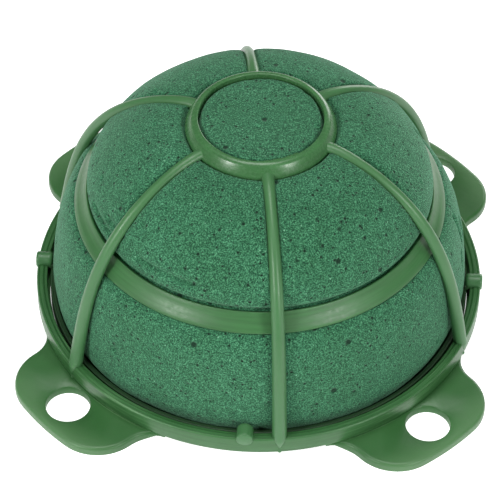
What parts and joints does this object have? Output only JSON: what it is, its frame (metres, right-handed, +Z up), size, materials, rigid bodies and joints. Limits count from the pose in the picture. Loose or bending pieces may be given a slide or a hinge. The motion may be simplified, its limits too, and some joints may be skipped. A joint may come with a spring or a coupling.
{
  "type": "caged floral foam dome",
  "caption": "Half-ball of floral foam on a round tray, under a lift-off plastic cage whose ribs rise from a rim with flat fixing ears.",
  "frame": {"origin": "on the surface the dome stands on, at the middle of the tray's underside", "axes": "+Z up through the middle of the top ring; the round pegs lie on X and Y and the ears on the diagonals"},
  "size_m": [0.1236, 0.1236, 0.0643],
  "materials": {
    "cage_plastic": "satin",
    "tray_plastic": "satin",
    "floral_foam": "matte"
  },
  "bodies": {
    "base": {"base_tray": "tray_plastic", "foam_dome": "floral_foam"},
    "cage": {"top_ring": "cage_plastic", "rib_1": "cage_plastic", "rib_2": "cage_plastic", "rib_3": "cage_plastic", "rib_4": "cage_plastic", "rib_5": "cage_plastic", "rib_6": "cage_plastic", "mid_band": "cage_plastic", "rim_ring": "cage_plastic", "ear_1": "cage_plastic", "ear_2": "cage_plastic", "ear_3": "cage_plastic", "ear_4": "cage_plastic", "peg_1": "cage_plastic", "peg_2": "cage_plastic", "peg_3": "cage_plastic", "peg_4": "cage_plastic"}
  },
  "joints": [
    {"name": "cage_lift", "type": "slide", "parent": "base", "child": "cage", "axis": [0, 0, 1], "range_m": [0, 0.07]}
  ]
}
